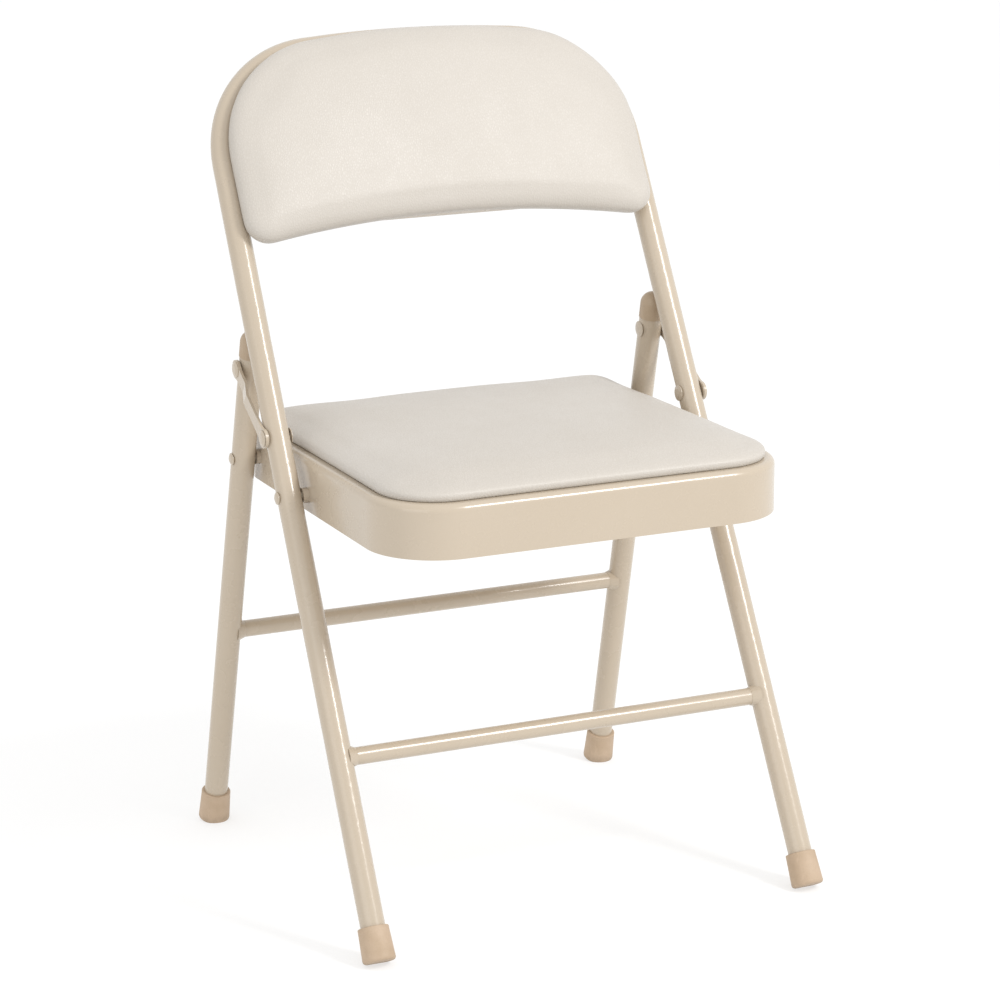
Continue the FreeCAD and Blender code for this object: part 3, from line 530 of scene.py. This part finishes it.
def cushion(name, ring, nu, nv, tuck, belly, shoulder, top, crown, crown_reach, crown_power, pull, cap, sideways, hollow, pressure, to_frame):
    """Stuffed pad over a closed outline, in its own flat coordinates (u, v, height), inflated and then placed.

    tuck: how far the cover turns in at its base. belly: height of its widest line. shoulder: width of the rounded edge.
    top: height at the shoulder's inner end. crown: further rise towards the middle. hollow: height of the recess over the board."""
    if QUICK:
        nu, nv = nu // 2, nv // 2
    ring = four_sided(ring, nu, nv)
    nrm = ring_normals(ring)
    lo, hi = ring.min(0), ring.max(0)
    off = (ring - (lo + hi) / 2) / ((hi - lo) / 2)
    draw = pull * (np.abs(nrm[:, 0]) ** 4 * (1 - np.clip(off[:, 1] ** 2, 0, 1)) + np.abs(nrm[:, 1]) ** 4 * (1 - np.clip(off[:, 0] ** 2, 0, 1)))
    ring = ring - nrm * draw[:, None]
    nrm = ring_normals(ring)

    def lift(d):
        return crown * (1 - (1 - np.clip(d / crown_reach, 0, 1)) ** crown_power)

    rows = []
    for k in range(4):  # under the belly, out from the tucked base line
        a = math.pi / 2 * k / 4
        rows.append((tuck * (1 - math.sin(a)), belly * (1 - math.cos(a))))
    for k in range(9):  # belly to shoulder
        a = math.pi / 2 * k / 8
        rows.append((shoulder * (1 - math.cos(a)), belly + (top - belly) * math.sin(a)))
    n = len(ring)
    sheets = []
    for d, h in rows:
        p = ring - nrm * d
        rise = float(lift(np.array(max(0.0, d - shoulder * 0.35)))) if h > belly else 0.0
        sheets.append(np.column_stack([p, np.full(n, h + rise)]))
    cover = patch(sheets[-1][:, :2], nu, nv)
    sheets.append(np.column_stack([cover, top + lift(edge_distance(cover, ring) - shoulder * 0.35)]))
    under = patch(sheets[0][:, :2], nu, nv)
    sheets.append(np.column_stack([under, np.where(edge_distance(under, ring) > 0.0075, hollow, 0.0)]))
    base_start = len(rows) * n + len(cover)
    verts = np.vstack(sheets)
    faces = []
    for r in range(len(rows) - 1):
        for i in range(n):
            j = (i + 1) % n
            faces.append((r * n + i, r * n + j, (r + 1) * n + j, (r + 1) * n + i))
    top_ring = (len(rows) - 1) * n
    faces += patch_faces(top_ring, len(rows) * n, nu, nv, False)
    faces += patch_faces(0, len(rows) * n + len(cover), nu, nv, True)
    ob = object_from(name, verts, faces)
    me = ob.data
    e = np.empty(len(me.edges) * 2, np.int64)
    me.edges.foreach_get("vertices", e)
    e = e.reshape(-1, 2)
    count = np.bincount(e.ravel(), minlength=len(verts)).astype(float)[:, None]
    inside = np.zeros((len(verts), 1))
    inside[top_ring - 2 * n : len(rows) * n + len(cover)] = 1.0
    inside[top_ring - 2 * n : top_ring] = 0.35
    co = coords(me)
    for _ in range(24):
        co = co + (smoothed(co, e, count, 1) - co) * inside * np.array([0.4, 0.4, 1.0])
    begin = co
    put(me, co)

    if not QUICK:
        g = ob.vertex_groups.new(name="held")
        for i in np.nonzero((begin[:, 2] < 0.0015) | (np.arange(len(begin)) >= base_start))[0]:
            g.add([int(i)], 1.0, "REPLACE")
        c = ob.modifiers.new("cloth", "CLOTH")
        s = c.settings
        s.quality = 6
        s.mass = 0.25
        s.tension_stiffness = 18
        s.compression_stiffness = 18
        s.shear_stiffness = 7
        s.bending_stiffness = 1.2
        s.use_pressure = True
        s.uniform_pressure_force = pressure
        s.vertex_group_mass = "held"
        s.pin_stiffness = 1.0
        s.effector_weights.gravity = 0.0
        c.collision_settings.use_collision = False
        c.point_cache.frame_start = 1
        c.point_cache.frame_end = 20
        for f in range(1, 21):
            scene.frame_set(f)
        dg = bpy.context.evaluated_depsgraph_get()
        puffed = coords(ob.evaluated_get(dg).to_mesh()).copy()
        ob.evaluated_get(dg).to_mesh_clear()
        ob.modifiers.remove(c)
        ob.vertex_groups.clear()
        scene.frame_set(1)
        move = smoothed(puffed - begin, e, count, 40)
        move[base_start:] = 0.0
        length = np.linalg.norm(move, axis=1, keepdims=True)
        print(name, "cloth moved up to", round(float(length.max()) * 1000, 2), "mm")
        move = move * (cap * np.tanh(length / cap) / np.maximum(length, 1e-9)) * np.array([sideways, sideways, 1.0])
        co = begin + move
    co[:, 2] = np.maximum(co[:, 2], 0.0)
    put(me, co)

    m = ob.modifiers.new("fine", "SUBSURF")
    m.levels = 0 if QUICK else 1
    m.render_levels = m.levels
    fine = baked(ob, name)
    ob.modifiers.clear()
    ob.data = fine
    co = coords(fine)
    # small gathers where the cover turns down over the edge, and slow unevenness of the foam
    d = edge_distance(co[:, :2], ring)
    nv3 = np.empty(len(fine.vertices) * 3, np.float64)
    fine.vertices.foreach_get("normal", nv3)
    nv3 = nv3.reshape(-1, 3)
    amp = np.zeros(len(co))
    for i, (p, q) in enumerate(zip(co, d)):
        if p[2] < belly * 0.35:
            continue
        low = 1.0 - min(1.0, q / 0.045)
        amp[i] = 0.00020 * noise.noise(Vector((p[0] * 14, p[1] * 14, 3.1)))
        if low > 0:
            amp[i] += 0.00016 * low * low * noise.noise(Vector((p[0] * 70, p[1] * 70, p[2] * 30 + 7)))
    co += nv3 * amp[:, None]
    co[:, 2] = np.maximum(co[:, 2], 0.0)
    print(name, "height", round(float(co[:, 2].max()) * 1000, 2), "size", (co.max(0) - co.min(0)).round(4).tolist())
    world = np.array([to_frame(*p) for p in co])
    put(fine, world)
    for poly in fine.polygons:
        poly.use_smooth = True
    fine.materials.clear()
    fine.materials.append(FINISH["vinyl"])
    return ob


# seat cushion, over the seat pan
c_lo, c_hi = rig.box("seat_cushion")
front_r, rear_r, taper = 0.0566, 0.0236, math.radians(1.13)
ylo, yhi = c_lo.y + 0.0002, c_hi.y - 0.0002
fx, fy = c_hi.x - 0.0002 - front_r, ylo + front_r
rx, ry = fx + (front_r - rear_r) / math.cos(taper) - (yhi - rear_r - fy) * math.tan(taper), yhi - rear_r
side_f = (fx + front_r * math.cos(taper), fy + front_r * math.sin(taper))
side_r = (rx + rear_r * math.cos(taper), ry + rear_r * math.sin(taper))
seat_ring = (
    arc(fx, fy, front_r, -math.pi / 2, taper)
    + run(side_f, side_r)
    + arc(rx, ry, rear_r, taper, math.pi / 2)
    + run((rx, yhi), (-rx, yhi))
    + arc(-rx, ry, rear_r, math.pi / 2, math.pi - taper)
    + run((-side_r[0], side_r[1]), (-side_f[0], side_f[1]))
    + arc(-fx, fy, front_r, math.pi - taper, 1.5 * math.pi)
    + run((-fx, ylo), (fx, ylo))
)
seat = cushion(
    "seat_cushion_cover", seat_ring, 62, 58, tuck=0.0030, belly=0.0060, shoulder=0.0190, top=0.0130,
    crown=0.0088, crown_reach=0.125, crown_power=2.2, pull=0.0008, cap=0.003, sideways=0.35, hollow=0.0066, pressure=4.0,
    to_frame=lambda u, v, h: (u, v, c_lo.z + h),
)
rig.ride(seat, "seat")
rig.replaces(seat, "seat_cushion")
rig.slot(seat, "vinyl")
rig.padded(seat, fill=0.85)

# back pad, in the leaning plane of the front frame
LEAN = math.radians(28.9)
b_lo, b_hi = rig.box("back_pad")
PAD_OFF = 0.0115
# y of the frame plane's foot, from the pad's own rear edge at the top of its crown
slim = 0.0016
half_b = b_hi.x - slim
crown_a = math.radians(7.6)
bow_r, low_r, top_r, low_mid, side_top = 1.070, 0.022, 0.110 - slim, 0.6716, 0.740
zb = low_mid - bow_r
ccx = half_b - low_r
ccz = zb + math.sqrt((bow_r + low_r) ** 2 - ccx ** 2)
tx = ccx * bow_r / (bow_r + low_r)
tz = zb + (ccz - zb) * bow_r / (bow_r + low_r)
kx = half_b - top_r + top_r * math.sin(crown_a)
kz = side_top + top_r * math.cos(crown_a)
kr = kx / math.sin(crown_a)
kc = kz - kr * math.cos(crown_a)
low_a = math.atan2(tz - ccz, tx - ccx)
bow_a = math.atan2(tz - zb, tx)
crest = kc + kr
foot_y = b_hi.y - crest * math.sin(LEAN) + PAD_OFF * math.cos(LEAN)
back_ring = (
    arc(ccx, ccz, low_r, low_a, 0)
    + run((half_b, ccz), (half_b, side_top))
    + arc(half_b - top_r, side_top, top_r, 0, math.pi / 2 - crown_a)
    + arc(0, kc, kr, math.pi / 2 - crown_a, math.pi / 2 + crown_a)
    + arc(-(half_b - top_r), side_top, top_r, math.pi / 2 + crown_a, math.pi)
    + run((-half_b, side_top), (-half_b, ccz))
    + arc(-ccx, ccz, low_r, math.pi, math.pi - low_a)
    + arc(0, zb, bow_r, math.pi - bow_a, bow_a)
)
back_pad = cushion(
    "back_pad_cover", back_ring, 70, 34, tuck=0.0030, belly=0.0100, shoulder=0.0170, top=0.0215,
    crown=0.0055, crown_reach=0.085, crown_power=2.0, pull=0.0, cap=0.003, sideways=0.25, hollow=0.0050, pressure=4.0,
    to_frame=lambda u, v, h: (
        u,
        foot_y + v * math.sin(LEAN) - (PAD_OFF + h) * math.cos(LEAN),
        v * math.cos(LEAN) + (PAD_OFF + h) * math.sin(LEAN),
    ),
)
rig.ride(back_pad, "front_frame")
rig.replaces(back_pad, "back_pad")
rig.slot(back_pad, "vinyl")
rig.padded(back_pad, fill=0.9)


# ------------------------------------------------------------------ studio
floor = object_from("studio_floor", [(-9, -9, 0), (9, -9, 0), (9, 9, 0), (-9, 9, 0)], [(0, 1, 2, 3)])
fm = Nodes("floor")
fm.set(Base_Color=fm.mix(fm.remap(fm.noise(1.5, 2.0), 0.3, 0.7, 0.0, 1.0), (0.36, 0.36, 0.36), (0.38, 0.38, 0.378)), Roughness=0.85, Specular_IOR_Level=0.1)
fm.set(Emission_Color=(1.0, 1.0, 1.0), Emission_Strength=0.62)
floor.data.materials.append(fm.mat)
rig.stage(floor)

world = bpy.data.worlds.new("studio_world")
scene.world = world
world.use_nodes = True
bg = world.node_tree.nodes.get("Background") or world.node_tree.nodes.new("ShaderNodeBackground")
bg.inputs["Color"].default_value = (1.0, 1.0, 1.0, 1.0)
bg.inputs["Strength"].default_value = 1.0


def soft_light(name, direction, distance, size, size_y, watts, colour=(1, 1, 1), aim=(0, 0, 0.42)):
    data = bpy.data.lights.new(name, "AREA")
    data.shape = "RECTANGLE"
    data.size, data.size_y, data.energy, data.color = size, size_y, watts, colour
    ob = bpy.data.objects.new(name, data)
    scene.collection.objects.link(ob)
    d = Vector(direction).normalized()
    ob.location = Vector(aim) + d * distance
    ob.rotation_euler = d.to_track_quat("Z", "Y").to_euler()
    return ob


soft_light("key", (0.41, -0.68, 0.605), 3.4, 0.6, 1.0, 58.0)
soft_light("fill", (-0.80, -0.56, 0.22), 3.8, 2.6, 2.6, 17.0)

end_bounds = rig.bounds()
with open("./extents.json", "w") as f:
    json.dump({"cad": plain(start_bounds), "visual": plain(end_bounds)}, f)
